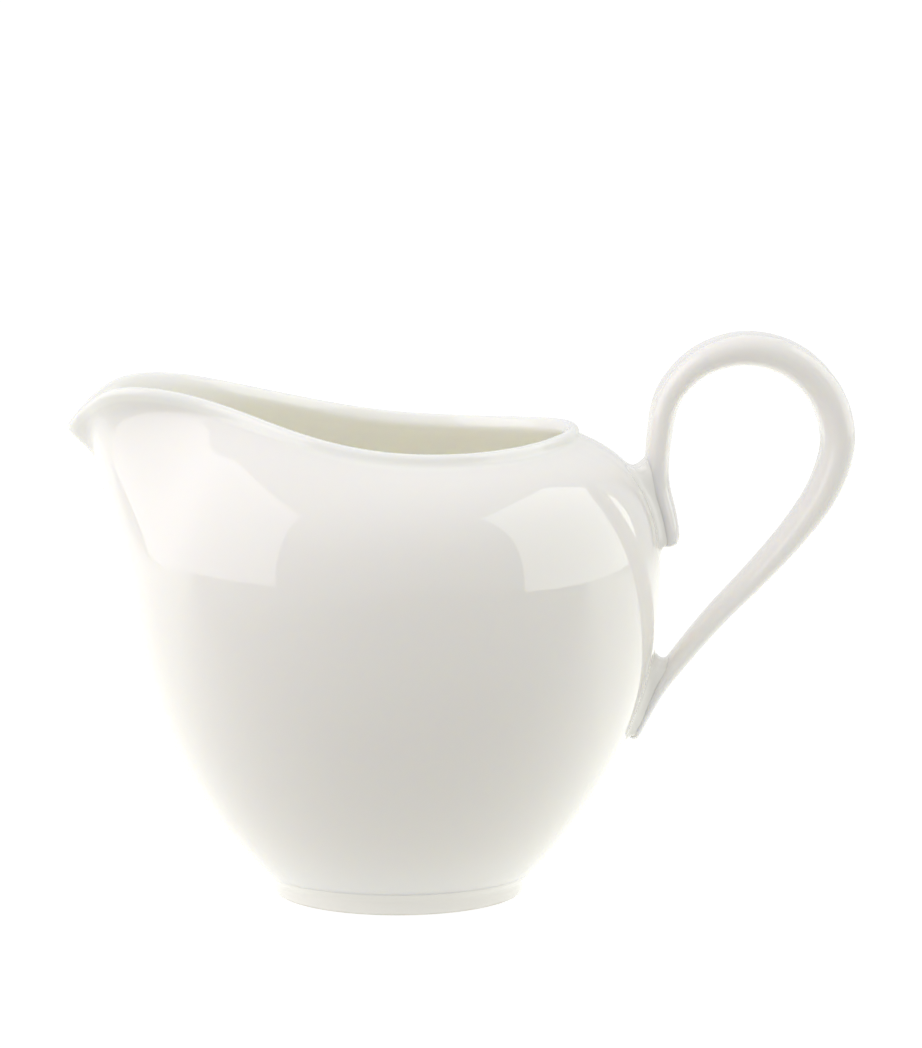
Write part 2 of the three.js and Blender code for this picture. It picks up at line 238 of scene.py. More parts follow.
def sizes():
    return bpy.context.scene.cream_jug_sizes


def finish():
    return bpy.context.scene.cream_jug_finish


# --------------------------------------------------------------------------- the vessel's wall
# Every angle runs from the pouring lip, at 0, round to the handle, at pi.


def outwards(angle):
    return Vector((-math.cos(angle), -math.sin(angle), 0))


def lip_share(angle):
    """How much of the drawn lip there is: 1 at its tip, 0 where the mouth is round."""
    return 1 / (1 + (abs(angle) / LIP_HALF_ANGLE) ** LIP_SHARPNESS)


def tip_share(angle):
    return math.exp(-((angle / TIP_HALF_ANGLE) ** 2))


def crest_height(x):
    tip_x = -(sizes().lip_reach + LIP_POINT)
    if x > CREST_LOW[0]:
        rear = (x - CREST_LOW[0]) / (sizes().mouth_radius - CREST_LOW[0])
        return mix(CREST_LOW[1], CREST_REAR, rear**2)
    if x > CREST_HIGH[0]:
        rise = ((CREST_LOW[0] - x) / (CREST_LOW[0] - CREST_HIGH[0])) ** CREST_RISE_DELAY
        return mix(CREST_LOW[1], CREST_HIGH[1], rise * rise * (3 - 2 * rise))
    fall = min((CREST_HIGH[0] - x) / (CREST_HIGH[0] - tip_x), 1)
    return mix(CREST_HIGH[1], CREST_TIP, fall**CREST_FALL_POWER)


def crest(angle):
    """The middle of the mouth's rounded edge."""
    made = sizes()
    reach = mix(made.mouth_radius, made.lip_reach, lip_share(angle)) + LIP_POINT * tip_share(angle)
    point = outwards(angle) * reach
    point.z = crest_height(point.x)
    return point


def crest_normal(angle, half_chord):
    along = crest(angle + half_chord) - crest(angle - half_chord)
    return Vector((along.y, -along.x, 0)).normalized()


def foot_angle(angle):
    """Where the foot of a rib stands, below its place on the edge of the mouth."""
    return angle * (1 + RIB_SPREAD * math.exp(-((angle / RIB_SPREAD_ANGLE) ** 2)))


def belly_point(angle, t):
    made = sizes()
    start = Vector(BELLY_START)
    slope = Vector((math.cos(BELLY_START_SLOPE), math.sin(BELLY_START_SLOPE)))
    widest = Vector((made.widest_radius, made.widest_height))
    below = widest - Vector((0, BELLY_PULL))
    radius, height = bezier(start, start + slope * BELLY_START_PULL, below, widest, t)
    risen = max(height - LEAN_START, 0) / (made.widest_height - LEAN_START)
    front = ((1 + math.cos(angle)) / 2) ** 2
    lean = LEAN_LOW * smoothstep(height, start.y, LEAN_LOW_TOP) + LEAN * risen**2
    point = outwards(angle) * (radius + front * lean)
    point.z = height
    return point


def edge_point(angle, turn):
    """A point on the rounded edge: turn 0 faces outwards, a quarter turn faces up.

    Beyond that the edge runs down into the mouth as a soft bead.
    """
    out = crest_normal(angle, NUDGE)
    radius = sizes().lip_radius
    side, rise = math.cos(turn), math.sin(turn)
    if side < 0:
        down = (1 - rise) * EDGE_INNER_DEPTH
        return crest(angle) + out * side * EDGE_INNER_REACH + UP * (radius - down)
    return crest(angle) + (out * side + UP * rise) * radius


def wall_point(angle, t):
    """A rib of the wall: 0 to 1 up the belly, 1 to 2 over the shoulder, 2 to 3 up the collar."""
    if t <= 1:
        return belly_point(foot_angle(angle), t)
    share = lip_share(angle)
    out = crest_normal(angle, NECK_SMOOTHING)
    slope = mix(*NECK_SLOPE, share)
    arriving = out * math.cos(slope) + UP * math.sin(slope)
    reach = mix(*NECK_OUT, share) - LIP_POINT * tip_share(angle)
    neck = crest(angle) + out * reach - UP * mix(*NECK_DOWN, share)
    if t <= 2:
        start = belly_point(foot_angle(angle), 1)
        leaving = (start - belly_point(foot_angle(angle), 1 - NUDGE)).normalized()
        return bezier(start, start + leaving * mix(*SHOULDER_PULL, share),
                      neck - arriving * mix(*NECK_PULL, share), neck, t - 1)
    turn = mix(*LIP_TURN, share)
    edge = edge_point(angle, turn)
    rising = UP * math.cos(turn) - crest_normal(angle, NUDGE) * math.sin(turn)
    pull = mix(*COLLAR_PULL, share)
    return bezier(neck, neck + arriving * pull, edge - rising * pull, edge, t - 2)


def wall_normal(angle, t):
    low = min(t, 3 - NUDGE)
    around = wall_point(angle + NUDGE, t) - wall_point(angle - NUDGE, t)
    up = wall_point(angle, low + NUDGE) - wall_point(angle, low)
    return around.cross(up).normalized()


def rib_angles():
    """Rib angles that stand evenly along the mouth's edge, and closer at the tip of the lip."""
    step = 2 * math.pi / RIM_SAMPLES
    lengths = [0.0]
    for i in range(RIM_SAMPLES):
        from_angle = -math.pi + i * step
        crowding = 1 + TIP_CROWDING * tip_share(from_angle / 2)
        length = (crest(from_angle + step) - crest(from_angle)).length
        lengths.append(lengths[-1] + length * crowding)
    angles = []
    i = 0
    for column in range(COLUMNS):
        wanted = lengths[-1] * column / COLUMNS
        while lengths[i + 1] <= wanted:
            i += 1
        part = (wanted - lengths[i]) / (lengths[i + 1] - lengths[i])
        angles.append(-math.pi + (i + part) * step)
    return angles


# --------------------------------------------------------------------------- working the clay


def start_ring(name, points):
    """A new piece that is one open ring, in edit mode with the ring selected."""
    bpy.ops.object.select_all(action="DESELECT")
    bpy.ops.mesh.primitive_circle_add(vertices=len(points), radius=sizes().widest_radius)
    piece = bpy.context.object
    piece.name = name
    piece.data.name = name
    bpy.ops.object.mode_set(mode="EDIT")
    bpy.ops.mesh.select_mode(type="VERT")
    bpy.ops.mesh.select_all(action="SELECT")
    mesh = bmesh.from_edit_mesh(piece.data)
    mesh.verts.ensure_lookup_table()
    for vert, point in zip(mesh.verts, points):
        vert.co = point + AXIS
    bmesh.update_edit_mesh(piece.data)
    return piece, list(range(len(points)))


def draw_up(piece, ring, points):
    """Extrudes the selected ring and pulls each new corner to its place."""
    bpy.ops.mesh.extrude_region_move()
    mesh = bmesh.from_edit_mesh(piece.data)
    mesh.verts.ensure_lookup_table()
    risen = []
    for index, point in zip(ring, points):
        old = mesh.verts[index]
        new = next(edge.other_vert(old) for edge in old.link_edges if edge.other_vert(old).select)
        new.co = point + AXIS
        risen.append(new.index)
    bmesh.update_edit_mesh(piece.data)
    return risen


def draw_through(name, rings):
    """A new open piece drawn up through all the rings: the piece, its first ring and its last."""
    piece, first = start_ring(name, rings[0])
    last = first
    for points in rings[1:]:
        last = draw_up(piece, last, points)
    return piece, first, last


def pick(piece, corners):
    """Selects just these corners of the piece."""
    bpy.ops.mesh.select_all(action="DESELECT")
    mesh = bmesh.from_edit_mesh(piece.data)
    mesh.verts.ensure_lookup_table()
    for index in corners:
        mesh.verts[index].select = True
    mesh.select_flush_mode()
    bmesh.update_edit_mesh(piece.data)


def close_pole(piece, ring):
    """Draws one open ring of the piece together into a single point."""
    pick(piece, ring)
    bpy.ops.mesh.merge(type="CENTER")


def fire(piece, node, material, smoothing=SMOOTHING):
    """Turns the faces outwards, smooths the piece and lets it stand for its frame node."""
    bpy.ops.mesh.select_all(action="SELECT")
    bpy.ops.mesh.normals_make_consistent(inside=False)
    bpy.ops.object.mode_set(mode="OBJECT")
    subdivision = piece.modifiers.new("Smooth", "SUBSURF")
    subdivision.levels = smoothing
    subdivision.render_levels = smoothing
    bpy.ops.object.modifier_apply(modifier=subdivision.name)
    bpy.ops.object.shade_smooth()
    piece.data.materials.append(material)
    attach(piece, "root")
    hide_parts(node)


def paint_glaze_and_light(piece, glaze_and_light_at):
    """Stores at each corner how thick the glaze lies and the painted light: 0 is even, 1 pooled, -1
    the lighter, thin colour, here painted in as light inside, along the mouth's edge and on the slip.
    """
    glaze_and_light_values = [glaze_and_light_at(vert.co - AXIS, vert.normal) for vert in piece.data.vertices]
    attribute = piece.data.attributes.new("glaze_and_painted_light", "FLOAT", "POINT")
    attribute.data.foreach_set("value", glaze_and_light_values)


# --------------------------------------------------------------------------- finishes


def add_node(tree, kind, **values):
    node = tree.nodes.new(kind)
    for name, value in values.items():
        if name in node.inputs:
            node.inputs[name].default_value = value
        else:
            setattr(node, name, value)
    return node


def add_ramp(tree, start, end, low, high):
    """A node that runs smoothly from low at start to high at end."""
    return add_node(tree, "ShaderNodeMapRange", interpolation_type="SMOOTHSTEP", **{
        "From Min": start, "From Max": end, "To Min": low, "To Max": high})


def group_tree(name, inputs, outputs):
    tree = bpy.data.node_groups.new(name, "ShaderNodeTree")
    for label, kind, value in inputs:
        socket = tree.interface.new_socket(label, in_out="INPUT", socket_type=kind)
        if value is not None:
            socket.default_value = value
    for label, kind in outputs:
        tree.interface.new_socket(label, in_out="OUTPUT", socket_type=kind)
    return tree, tree.nodes.new("NodeGroupInput"), tree.nodes.new("NodeGroupOutput")


def glaze_surface_group():
    """Long soft waves in the glaze, and the finer orange peel on top of them."""
    tree, given, out = group_tree(
        "Glaze Surface",
        [("Wave Size", "NodeSocketFloat", 90.0), ("Wave Height", "NodeSocketFloat", 0.02),
         ("Peel Size", "NodeSocketFloat", 900.0), ("Peel Height", "NodeSocketFloat", 0.004)],
        [("Height", "NodeSocketFloat"), ("Gloss Variation", "NodeSocketFloat")])
    place = tree.nodes.new("ShaderNodeTexCoord")
    waves = add_node(tree, "ShaderNodeTexNoise", Detail=1.0, Roughness=0.4)
    peel = add_node(tree, "ShaderNodeTexNoise", Detail=2.0, Roughness=0.5)
    wave_height = add_node(tree, "ShaderNodeMath", operation="MULTIPLY")
    peel_height = add_node(tree, "ShaderNodeMath", operation="MULTIPLY")
    total = add_node(tree, "ShaderNodeMath", operation="ADD")
    link = tree.links.new
    for texture, size, product, height in (
            (waves, "Wave Size", wave_height, "Wave Height"),
            (peel, "Peel Size", peel_height, "Peel Height")):
        link(place.outputs["Object"], texture.inputs["Vector"])
        link(given.outputs[size], texture.inputs["Scale"])
        link(texture.outputs["Fac"], product.inputs[0])
        link(given.outputs[height], product.inputs[1])
    link(wave_height.outputs[0], total.inputs[0])
    link(peel_height.outputs[0], total.inputs[1])
    link(total.outputs[0], out.inputs["Height"])
    link(waves.outputs["Fac"], out.inputs["Gloss Variation"])
    return tree


def kiln_specks_group():
    """Tiny iron specks and pinholes, far apart, as 0 to 1."""
    tree, given, out = group_tree(
        "Kiln Specks",
        [("Spacing", "NodeSocketFloat", 160.0), ("Speck Size", "NodeSocketFloat", 0.035)],
        [("Specks", "NodeSocketFloat")])
    place = tree.nodes.new("ShaderNodeTexCoord")
    cells = add_node(tree, "ShaderNodeTexVoronoi", feature="F1")
    near = add_node(tree, "ShaderNodeMath", operation="LESS_THAN")
    chance = add_node(tree, "ShaderNodeMath", operation="GREATER_THAN")
    chance.inputs[1].default_value = SPECK_RARITY
    rare = add_node(tree, "ShaderNodeMath", operation="MULTIPLY")
    link = tree.links.new
    link(place.outputs["Object"], cells.inputs["Vector"])
    link(given.outputs["Spacing"], cells.inputs["Scale"])
    link(cells.outputs["Distance"], near.inputs[0])
    link(given.outputs["Speck Size"], near.inputs[1])
    link(cells.outputs["Color"], chance.inputs[0])
    link(near.outputs[0], rare.inputs[0])
    link(chance.outputs[0], rare.inputs[1])
    link(rare.outputs[0], out.inputs["Specks"])
    return tree


def glaze_colour_group():
    """Tints the porcelain by how thick the glaze lies and by the painted light stored with it, and
    clouds it a little.
    """
    tree, given, out = group_tree(
        "Glaze Colour",
        [("Porcelain", "NodeSocketColor", None), ("Pooled", "NodeSocketColor", None),
         ("Thin", "NodeSocketColor", None), ("Depth", "NodeSocketFloat", 0.0),
         ("Specks", "NodeSocketFloat", 0.0)],
        [("Color", "NodeSocketColor")])
    place = tree.nodes.new("ShaderNodeTexCoord")
    clouds = add_node(tree, "ShaderNodeTexNoise", Scale=38.0, Detail=2.0, Roughness=0.5)
    cloud_range = add_node(tree, "ShaderNodeMapRange", **{"To Min": -CLOUDING, "To Max": CLOUDING})
    depth = add_node(tree, "ShaderNodeMath", operation="ADD")
    pooled_share = add_node(tree, "ShaderNodeMath", operation="MAXIMUM")
    pooled_share.inputs[1].default_value = 0.0
    # Painted light: below 0 the lighter, thin colour is mixed in; it lights the inside, the mouth's
    # edge and the slip beads.
    thin_and_light_share = add_node(tree, "ShaderNodeMath", operation="MULTIPLY", use_clamp=True)
    thin_and_light_share.inputs[1].default_value = -1.0
    pooled = add_node(tree, "ShaderNodeMix", data_type="RGBA")
    thin = add_node(tree, "ShaderNodeMix", data_type="RGBA")
    speckled = add_node(tree, "ShaderNodeMix", data_type="RGBA", B=SPECK_COLOUR)
    link = tree.links.new
    link(place.outputs["Object"], clouds.inputs["Vector"])
    link(clouds.outputs["Fac"], cloud_range.inputs["Value"])
    link(given.outputs["Depth"], depth.inputs[0])
    link(cloud_range.outputs["Result"], depth.inputs[1])
    link(depth.outputs[0], pooled_share.inputs[0])
    link(depth.outputs[0], thin_and_light_share.inputs[0])
    link(pooled_share.outputs[0], pooled.inputs["Factor"])
    link(given.outputs["Porcelain"], pooled.inputs["A"])
    link(given.outputs["Pooled"], pooled.inputs["B"])
    link(thin_and_light_share.outputs[0], thin.inputs["Factor"])
    link(pooled.outputs["Result"], thin.inputs["A"])
    link(given.outputs["Thin"], thin.inputs["B"])
    link(given.outputs["Specks"], speckled.inputs["Factor"])
    link(thin.outputs["Result"], speckled.inputs["A"])
    link(speckled.outputs["Result"], out.inputs["Color"])
    return tree


def add_group(tree, name, build):
    """A node of the group of that name, which is built when it is first wanted."""
    node = tree.nodes.new("ShaderNodeGroup")
    node.node_tree = bpy.data.node_groups.get(name) or build()
    return node


def glazed_shader(tree, scatter_weight, scatter_depth):
    """The clear gloss glaze over porcelain, which lets light some way in: the shader's node."""
    made = finish()
    link = tree.links.new
    shader = add_node(tree, "ShaderNodeBsdfPrincipled", IOR=GLAZE_IOR, **{
        "Coat Weight": COAT_WEIGHT, "Coat Roughness": COAT_ROUGHNESS,
        "Subsurface Weight": scatter_weight, "Subsurface Radius": SCATTER_COLOUR,
        "Subsurface Scale": scatter_depth})
    surface = add_group(tree, "Glaze Surface", glaze_surface_group)
    specks = add_group(tree, "Kiln Specks", kiln_specks_group)
    colour = add_group(tree, "Glaze Colour", glaze_colour_group)
    for label in ("porcelain", "pooled", "thin"):
        colour.inputs[label.capitalize()].default_value = (*getattr(made, label), 1)
    # The stored depth also carries the painted light: the inside's glow, the edge's highlight and the
    # lighter slip.
    depth = add_node(tree, "ShaderNodeAttribute", attribute_name="glaze_and_painted_light")
    gloss = add_node(tree, "ShaderNodeMapRange", **{
        "To Min": GLAZE_ROUGHNESS[0], "To Max": GLAZE_ROUGHNESS[1]})
    bump = add_node(tree, "ShaderNodeBump", Strength=1.0, Distance=GLAZE_RELIEF)
    link(depth.outputs["Fac"], colour.inputs["Depth"])
    link(specks.outputs["Specks"], colour.inputs["Specks"])
    link(colour.outputs["Color"], shader.inputs["Base Color"])
    link(surface.outputs["Gloss Variation"], gloss.inputs["Value"])
    link(gloss.outputs["Result"], shader.inputs["Roughness"])
    link(surface.outputs["Height"], bump.inputs["Height"])
    link(bump.outputs["Normal"], shader.inputs["Normal"])
    return shader


def new_material(name):
    material = bpy.data.materials.new(name)
    material.use_nodes = True
    material.node_tree.nodes.clear()
    output = material.node_tree.nodes.new("ShaderNodeOutputMaterial")
    return material, material.node_tree, output


def glazed(name, scatter_weight, scatter_depth):
    """The glazed finish of that name, made when it is first wanted."""
    found = bpy.data.materials.get(name)
    if found:
        return found
    material, tree, output = new_material(name)
    shader = glazed_shader(tree, scatter_weight, scatter_depth)
    tree.links.new(shader.outputs["BSDF"], output.inputs["Surface"])
    return material


def glazed_wall():
    """For thin clay, which light shines through a little."""
    return glazed("clear_glaze_on_thin_wall", WALL_SCATTER, WALL_SCATTER_DEPTH)


def glazed_slip():
    """For the slip, which lies on more clay."""
    return glazed("clear_glaze_on_slip", SLIP_SCATTER, SLIP_SCATTER_DEPTH)


def foot_finish():
    """Glazed down its sides, and bare where its edge was wiped and ground."""
    material, tree, output = new_material("ground_foot_edge")
    link = tree.links.new
    sides = glazed_shader(tree, SLIP_SCATTER, SLIP_SCATTER_DEPTH)
    bare = add_node(tree, "ShaderNodeBsdfPrincipled", Roughness=BISCUIT_ROUGHNESS, **{
        "Subsurface Weight": BISCUIT_SCATTER, "Subsurface Scale": BISCUIT_SCATTER_DEPTH})
    place = tree.nodes.new("ShaderNodeTexCoord")
    height = tree.nodes.new("ShaderNodeSeparateXYZ")
    wander = add_node(tree, "ShaderNodeTexNoise", Scale=220.0, Detail=2.0)
    line = add_node(tree, "ShaderNodeMath", operation="MULTIPLY_ADD")
    line.inputs[1].default_value = BARE_WANDER
    share = add_ramp(tree, *BARE_EDGE, 0, 1)
    grain = add_node(tree, "ShaderNodeTexNoise", Scale=2600.0, Detail=3.0, Roughness=0.6)
    biscuit = finish().biscuit
    shade = [part * BISCUIT_SHADE for part in biscuit]
    tone = add_node(tree, "ShaderNodeMix", data_type="RGBA", A=(*biscuit, 1), B=(*shade, 1))
    bump = add_node(tree, "ShaderNodeBump", Strength=0.6, Distance=BISCUIT_RELIEF)
    mixed = tree.nodes.new("ShaderNodeMixShader")
    for node in (height, wander, grain):
        link(place.outputs["Object"], node.inputs["Vector"])
    link(wander.outputs["Fac"], line.inputs[0])
    link(height.outputs["Z"], line.inputs[2])
    link(line.outputs[0], share.inputs["Value"])
    link(grain.outputs["Fac"], tone.inputs["Factor"])
    link(grain.outputs["Fac"], bump.inputs["Height"])
    link(tone.outputs["Result"], bare.inputs["Base Color"])
    link(bump.outputs["Normal"], bare.inputs["Normal"])
    link(share.outputs["Result"], mixed.inputs["Fac"])
    link(bare.outputs["BSDF"], mixed.inputs[1])
    link(sides.outputs["BSDF"], mixed.inputs[2])
    link(mixed.outputs["Shader"], output.inputs["Surface"])
    return material


# --------------------------------------------------------------------------- the pieces


class CREAMJUG_OT_vessel(bpy.types.Operator):
    """Draw up the vessel with its floor, belly, shoulder, pouring lip and inner wall"""

    bl_idname = "cream_jug.vessel"
    bl_label = "Cast the vessel"
    bl_options = {"REGISTER", "UNDO"}

    # Rings across the recess under the floor and across the floor inside, as shares of its width.
    BASE_RINGS = (0.3, 0.65, 0.97)
    FLOOR_RINGS = (0.55, 0.25)
    # Two rings round the floor's corner, as shares of the fillet's width and of its height.
    FILLET_RINGS = ((0.4, 0.35), (1.0, 0.05))
    HEEL_ROUNDING = 0.3 * MM
    HEEL_LEDGE = 0.8 * MM
    INSIDE_PAINTED_GLOW = -0.9  # painted light: the inside is painted lighter and warmer, standing in for light that shines through the wall
    EDGE_PAINTED_HIGHLIGHT = -0.5  # painted highlight: lighter over the mouth's edge
    EDGE_BAND = (0.8 * MM, 1.5 * MM)  # from the crest, as far as the painted highlight is whole and where it is gone
    FLOOR_FACES = (0, 0.5)  # where a face of the floor or the wall turns to the inside and takes the painted glow
    WALL_FACES = (-0.1, 0.5)

    def execute(self, context):
        angles = rib_angles()
        wall = sizes().wall
        heights = [0, *evenly(0, 1, BELLY_RINGS), *evenly(1, 2, SHOULDER_RINGS)]

        def level(radius, z):
            return [outwards(foot_angle(angle)) * radius + UP * z for angle in angles]

        def outer(t):
            return [wall_point(angle, t) for angle in angles]

        def inner(t):
            return [wall_point(angle, t) - wall_normal(angle, t) * wall for angle in angles]

        def rounded(share):
            return [edge_point(a, mix(mix(*LIP_TURN, lip_share(a)), math.pi, share)) for a in angles]

        rings = [level(HEEL_INSIDE * share, BASE_RECESS) for share in self.BASE_RINGS]
        rings.append(level(HEEL_INSIDE, BASE_RECESS - self.HEEL_ROUNDING))
        rings.append(level(HEEL_INSIDE + self.HEEL_ROUNDING, HEEL_HEIGHT))
        rings.append(level(BELLY_START[0] - self.HEEL_LEDGE, HEEL_HEIGHT))
        rings += [outer(t) for t in heights]
        rings += [outer(t) for t in evenly(2, 3, COLLAR_RINGS)]
        rings += [rounded(share) for share in evenly(0, 1, LIP_RINGS)]
        rings += [inner(t) for t in reversed(heights[:-1])
                  if wall_point(math.pi, t).z > FLOOR_CORNER]
        corner = (rings[-1][0] - UP * rings[-1][0].z).length
        rings += [level(corner - FLOOR_FILLET * inwards, mix(FLOOR_TOP, FLOOR_CORNER, rise))
                  for inwards, rise in self.FILLET_RINGS]
        rings += [level(corner * share, FLOOR_TOP) for share in self.FLOOR_RINGS]

        piece, first, last = draw_through("vessel_wall", rings)
        close_pole(piece, last)
        close_pole(piece, first)
        fire(piece, "jug_body", glazed_wall())
        paint_glaze_and_light(piece, self.glaze_and_painted_light)
        return {"FINISHED"}

    # Painted light: a glow over the inside and a painted highlight along the mouth's edge.
    def glaze_and_painted_light(self, place, normal):
        if place.z < FLOOR_CORNER:
            return self.INSIDE_PAINTED_GLOW * smoothstep(normal.z, *self.FLOOR_FACES)
        radial = Vector((place.x, place.y, 0)).normalized()
        inside = smoothstep(-normal.dot(radial), *self.WALL_FACES)
        from_edge = abs(place.z - crest_height(place.x))
        return min(self.INSIDE_PAINTED_GLOW * inside,
                   self.EDGE_PAINTED_HIGHLIGHT * (1 - smoothstep(from_edge, *self.EDGE_BAND)))


class CREAMJUG_OT_foot(bpy.types.Operator):
    """Turn the foot ring: tapered outside, hollow inside, with a ground lower edge"""

    bl_idname = "cream_jug.foot"
    bl_label = "Turn the foot ring"
    bl_options = {"REGISTER", "UNDO"}

    # Radius and height, in millimetres, round the ring from the top of its inner side.
    PROFILE = (
        (17.2, 4.0), (16.95, 1.9), (17.2, 0.8), (17.5, 0.2), (17.9, 0.02), (19.1, 0.02),
        (19.45, 0.12), (19.62, 0.55), (19.88, 1.5), (20.1, 2.1), (20.43, 2.6), (20.87, 3.0),
        (21.27, 3.42), (21.64, 3.86), (21.2, 4.0))
    POOLED = 0.3  # the glaze runs down and lies thick on the foot

    def execute(self, context):
        points = [Vector((radius * MM, 0, z * MM)) for radius, z in self.PROFILE]
        piece, _ = start_ring("foot_band", points)
        bpy.ops.mesh.spin(steps=COLUMNS, angle=2 * math.pi, center=AXIS, axis=UP)
        bpy.ops.mesh.select_all(action="SELECT")
        bpy.ops.mesh.remove_doubles(threshold=NUDGE * MM)
        fire(piece, "foot_ring", foot_finish())
        paint_glaze_and_light(piece, lambda place, normal: self.POOLED)
        return {"FINISHED"}


# --------------------------------------------------------------------------- the handle


class Strap:
    """The handle's surface: how far along from the upper end, and the turn round the section.

    A quarter turn faces the outside of the loop and three quarters faces the inside.
    """

    SAMPLES = 600
    NEAR = 0.2 * MM  # how far apart the direction is taken
    CLOSEST = 1e-9
    TIP_NARROWING = 0.75  # how much of its width the strap loses at its very ends
    CHANNEL_POWER = 1.5

    def __init__(self):
        points = self.spline(self.route(), self.SAMPLES)
        self.points = points
        self.lengths = [0.0]
        for before, after in zip(points, points[1:]):
            self.lengths.append(self.lengths[-1] + (after - before).length)
        self.length = self.lengths[-1]
        thick = [Vector((size * MM, 0, 0)) for size in STRAP_THICKNESS]
        self.thicknesses = [v.x for v in self.spline(thick, self.SAMPLES)]

    @staticmethod
    def route():
        start, end = LOOP_RADII
        loop = [(LOOP_CENTRE[0] - start, LOOP_CENTRE[1])]
        for left in evenly(1, 0, LOOP_STEPS):
            turn = mix(LOOP_END_ANGLE, math.pi, left)
            radius = mix(end, start, (max(turn, 0) / math.pi) ** LOOP_EASE)
            loop.append((LOOP_CENTRE[0] + radius * math.cos(turn),
                         LOOP_CENTRE[1] + radius * math.sin(turn)))
        tails = [[(x * MM, z * MM) for x, z in part] for part in (UPPER_TAIL, LOWER_LEG + LOWER_TAIL)]
        return [Vector((x, 0, z)) for x, z in (*tails[0], *loop, *tails[1])]

    @staticmethod
    def spline(points, count):
        """A smooth run through the points (centripetal Catmull-Rom), at count + 1 places."""
        ends = [points[0] * 2 - points[1], *points, points[-1] * 2 - points[-2]]
        found = []
        for i in range(count + 1):
            place = i / count * (len(points) - 1)
            k = min(int(place), len(points) - 2)
            a, b, c, d = ends[k:k + 4]
            knots = [0.0]
            for p, q in ((a, b), (b, c), (c, d)):
                knots.append(knots[-1] + max((q - p).length, Strap.CLOSEST) ** 0.5)
            t = mix(knots[1], knots[2], place - k)

            def blend(p, q, low, high):
                return p * ((high - t) / (high - low)) + q * ((t - low) / (high - low))

            ab, bc, cd = (blend(p, q, knots[n], knots[n + 1])
                          for n, (p, q) in enumerate(((a, b), (b, c), (c, d))))
            found.append(blend(blend(ab, bc, knots[0], knots[2]),
                               blend(bc, cd, knots[1], knots[3]), knots[1], knots[2]))
        return found

    def middle(self, along):
        along = min(max(along, 0), self.length)
        low, high = 0, len(self.lengths) - 1
        while high - low > 1:
            half = (low + high) // 2
            low, high = (half, high) if self.lengths[half] <= along else (low, half)
        part = (along - self.lengths[low]) / (self.lengths[high] - self.lengths[low])
        return self.points[low].lerp(self.points[high], part)

    def direction(self, along):
        return (self.middle(along + self.NEAR) - self.middle(along - self.NEAR)).normalized()

    def thickness(self, along):
        place = min(max(along / self.length, 0), 1) * self.SAMPLES
        low = min(int(place), self.SAMPLES - 1)
        return mix(self.thicknesses[low], self.thicknesses[low + 1], place - low)

    def point(self, along, turn):
        made = sizes()
        from_end = min(along, self.length - along)
        tip = min(max(from_end, 0) / TIP_LENGTH, 1)
        size = math.sqrt(max(1 - (1 - tip) ** 2, 0))
        outside = self.direction(along).cross(ACROSS).normalized()
        widening = smoothstep(from_end / self.length, 0, TAIL_SHARE)
        half_width = mix(made.tail_width, made.strap_width, widening) / 2
        side, depth = (math.copysign(abs(v) ** (2 / SECTION_SQUARENESS), v)
                       for v in (math.cos(turn), math.sin(turn)))
        hollow = 0.0
        if depth > 0:
            dip = max(1 - (side / CHANNEL_SHARE) ** 2, 0)
            fade = smoothstep(from_end, 0, CHANNEL_FADE)
            hollow = made.channel_depth * dip**self.CHANNEL_POWER * fade
        return (self.middle(along)
                + ACROSS * side * half_width * mix(1, size, self.TIP_NARROWING)
                + outside * (depth * self.thickness(along) / 2 * size - hollow))

    def section(self, along):
        return [self.point(along, 2 * math.pi * (i + 0.5) / SECTION_SIDES)
                for i in range(SECTION_SIDES)]


class CREAMJUG_OT_handle(bpy.types.Operator):
    """Draw the strap handle along its loop, with its channel and its two rounded free ends"""

    bl_idname = "cream_jug.handle"
    bl_label = "Make the handle"
    bl_options = {"REGISTER", "UNDO"}

    def execute(self, context):
        strap = Strap()
        tip = [TIP_LENGTH * (1 - math.cos(turn)) for turn in evenly(0, math.pi / 2, TIP_RINGS)]
        stations = [*tip, *evenly(TIP_LENGTH, strap.length - TIP_LENGTH, STRAP_RINGS)[:-1],
                    *[strap.length - along for along in reversed(tip)]]
        piece, first, last = draw_through(
            "strap_handle", [strap.section(along) for along in stations])
        close_pole(piece, last)
        close_pole(piece, first)
        fire(piece, "handle_strap", glazed_wall())
        paint_glaze_and_light(piece, lambda place, normal: 0.0)
        return {"FINISHED"}


# --------------------------------------------------------------------------- the slip


class RearWall:
    """The wall behind the handle, where it is as good as round: how far a point is from it."""

    STEPS = 120

    def __init__(self):
        ribs = [wall_point(math.pi, 2 * i / self.STEPS) for i in range(self.STEPS + 1)]
        self.line = [(rib.x, rib.z) for rib in ribs]

    def nearest(self, point):
        """The nearest place on the wall, the way out of it there, and the gap to the point."""
        radius = math.hypot(point.x, point.y)
        best = None
        for (r0, z0), (r1, z1) in zip(self.line, self.line[1:]):
            dr, dz = r1 - r0, z1 - z0
            share = ((radius - r0) * dr + (point.z - z0) * dz) / (dr * dr + dz * dz)
            share = min(max(share, 0), 1)
            near = (r0 + dr * share, z0 + dz * share)
            distance = math.hypot(radius - near[0], point.z - near[1])
            if best is None or distance < best[0]:
                best = (distance, near, (dz, -dr), (radius - near[0]) * dz - (point.z - near[1]) * dr)
        _, (r, z), (nr, nz), side = best
        ray = Vector((point.x / radius, point.y / radius, 0))
        normal = (ray * nr + UP * nz).normalized()
        return ray * r + UP * z, normal, math.copysign(best[0], side)


